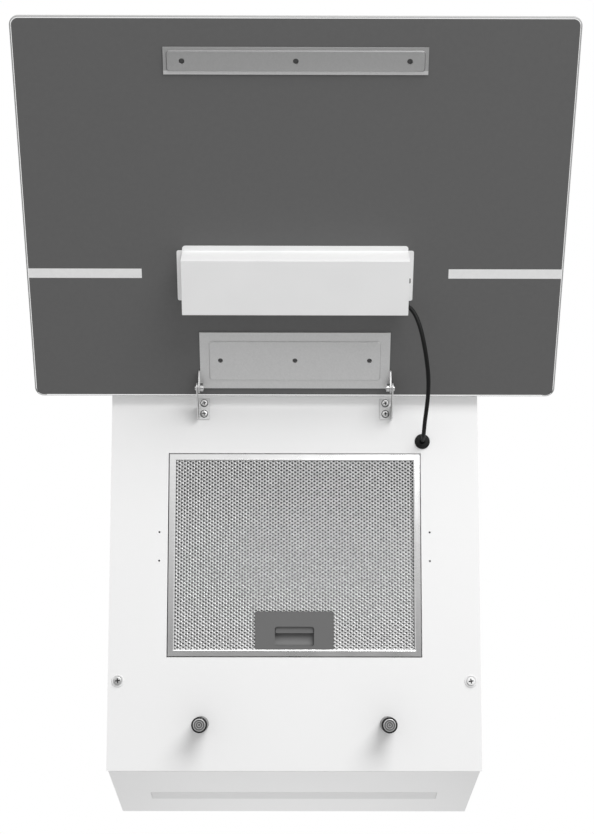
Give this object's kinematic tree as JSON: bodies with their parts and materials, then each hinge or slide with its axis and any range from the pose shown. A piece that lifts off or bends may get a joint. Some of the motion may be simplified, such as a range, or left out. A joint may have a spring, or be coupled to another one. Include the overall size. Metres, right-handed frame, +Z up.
{
  "type": "range hood",
  "caption": "Slanted wall-mounted kitchen extractor hood with a swing-up glass front, touch control box, grease filter, strip lamp, centrifugal fan and round duct outlet.",
  "frame": {"origin": "middle of the four wall holes, on the back face of the rear panel", "axes": "+Z up, +Y into the wall, the front and its door face -Y, +X to the right seen from the front"},
  "size_m": [0.6, 0.6899, 0.6722],
  "materials": {
    "panel_white": "satin white powder coat",
    "rear_zinc": "zinc coated sheet",
    "seat_white": "satin white powder coat",
    "lamp_white": "frosted white",
    "lamp_body": "moulded",
    "led_card": "white circuit board",
    "screw_steel": "zinc plated",
    "panel_screw_white": "white painted",
    "black_rubber": "matt",
    "stud_grey": "moulded grey",
    "magnet_steel": "turned face",
    "bracket_white": "white painted",
    "glass_clear": "clear toughened glass",
    "back_grey": "printed coating",
    "stripe_grey": "printed stripe",
    "plate_zinc": "zinc coated sheet",
    "box_grey": "moulded light grey",
    "card_green": "circuit board",
    "dark_plastic": "moulded",
    "filter_aluminium": "satin anodised",
    "filter_pack": "open metal mesh",
    "handle_grey": "moulded grey",
    "fan_grey": "moulded",
    "motor_grey": "cast"
  },
  "bodies": {
    "hood": {"front_panel": "panel_white", "side_panel_left": "panel_white", "side_panel_right": "panel_white", "bottom_panel": "panel_white", "top_panel": "panel_white", "rear_panel": "rear_zinc", "wall_rails": "rear_zinc", "filter_seat": "seat_white", "lamp_diffuser": "lamp_white", "lamp_housing": "lamp_body", "led_board": "led_card", "panel_screws": "panel_screw_white", "panel_washers": "panel_screw_white", "cable_grommet": "black_rubber", "stud_barrels": "stud_grey", "stud_rings": "black_rubber", "stud_magnets": "magnet_steel", "stud_nuts": "screw_steel", "hinge_bracket_left": "bracket_white", "hinge_bracket_right": "bracket_white", "bracket_screws": "screw_steel", "pivot_bolts": "screw_steel", "pivot_nuts": "screw_steel", "pivot_spacers": "plate_zinc", "scroll_housing": "fan_grey", "scroll_cover": "fan_grey", "inlet_ring": "fan_grey", "fan_motor": "motor_grey", "motor_screws": "screw_steel", "outlet_collar": "fan_grey", "damper_axle": "screw_steel", "power_case": "rear_zinc", "power_case_lid": "rear_zinc", "terminal_block": "dark_plastic", "motor_capacitor": "dark_plastic", "led_driver": "lamp_body", "mains_gland": "dark_plastic", "gland_nut": "dark_plastic", "control_cable": "black_rubber"},
    "door": {"glass_panel": "glass_clear", "back_coating": "back_grey", "decor_stripes": "stripe_grey", "keeper_plate": "plate_zinc", "hinge_plate": "plate_zinc", "control_base": "box_grey", "control_cover": "box_grey", "touch_sensor": "dark_plastic", "control_board": "card_green"},
    "filter": {"filter_frame": "filter_aluminium", "front_mesh": "filter_aluminium", "rear_mesh": "filter_aluminium", "filter_core": "filter_pack", "handle_plate": "handle_grey"},
    "latch": {"latch_slide": "handle_grey"},
    "fan": {"impeller": "fan_grey", "fan_shaft": "screw_steel"},
    "flap_front": {"damper_flap_front": "fan_grey"},
    "flap_rear": {"damper_flap_rear": "fan_grey"}
  },
  "joints": [
    {"name": "door_hinge", "type": "hinge", "parent": "hood", "child": "door", "pos_m": [0, -0.35811, 0.18817], "axis": [1, 0, 0], "range_deg": [0, 145.2], "deforming": ["control_cable"]},
    {"name": "filter_tilt", "type": "hinge", "parent": "hood", "child": "filter", "pos_m": [0, -0.29497, 0.13235], "axis": [-1, 0, 0], "range_deg": [0, 5]},
    {"name": "latch_travel", "type": "slide", "parent": "filter", "child": "latch", "axis": [0, -0.309, 0.9511], "range_m": [0, 0.005], "stiffness_N_per_m": 400, "springref_m": -0.015},
    {"name": "fan_spin", "type": "hinge", "parent": "hood", "child": "fan", "pos_m": [0, -0.112, 0.036], "axis": [1, 0, 0], "continuous": true},
    {"name": "flap_front_swing", "type": "hinge", "parent": "hood", "child": "flap_front", "pos_m": [0, -0.112, 0.22998], "axis": [-1, 0, 0], "range_deg": [0, 75]},
    {"name": "flap_rear_swing", "type": "hinge", "parent": "hood", "child": "flap_rear", "pos_m": [0, -0.112, 0.22998], "axis": [1, 0, 0], "range_deg": [0, 75]}
  ],
  "couplings": [
    {"joint": "latch_travel", "follows": "filter_tilt", "m_per_rad": 0.057181}
  ]
}
